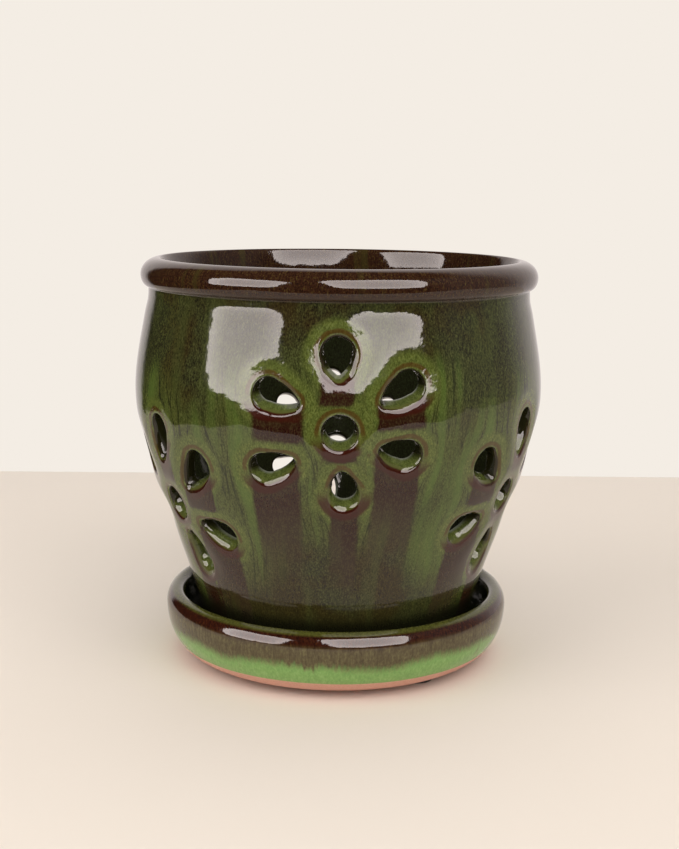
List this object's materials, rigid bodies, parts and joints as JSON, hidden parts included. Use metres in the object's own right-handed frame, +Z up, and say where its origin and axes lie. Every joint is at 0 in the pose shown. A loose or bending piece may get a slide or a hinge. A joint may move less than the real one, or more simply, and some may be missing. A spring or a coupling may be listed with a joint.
{
  "type": "orchid pot",
  "caption": "Round glazed ceramic orchid pot with a rolled rim and flower-shaped groups of air slots through its wall, standing in a separate glazed saucer on rubber pads.",
  "frame": {"origin": "on the table under the middle of the pot, level with the undersides of the rubber pads", "axes": "+Z up along the axis of the pot and saucer, -Y towards the flower of slots that faces the viewer in the picture, +X to the viewer's right"},
  "size_m": [0.1548, 0.1547, 0.1534],
  "materials": {
    "pot_glaze": "high gloss mottled green and dark brown glaze",
    "saucer_glaze": "high gloss brown glaze running to green, unglazed underside",
    "pad_rubber": "matte"
  },
  "bodies": {
    "saucer_base": {"saucer": "saucer_glaze", "pad_right": "pad_rubber", "pad_back": "pad_rubber", "pad_left": "pad_rubber"},
    "pot_body": {"pot": "pot_glaze"}
  },
  "joints": [
    {"name": "pot_lift", "type": "slide", "parent": "saucer_base", "child": "pot_body", "axis": [0, 0, 1], "range_m": [0, 0.06]}
  ]
}
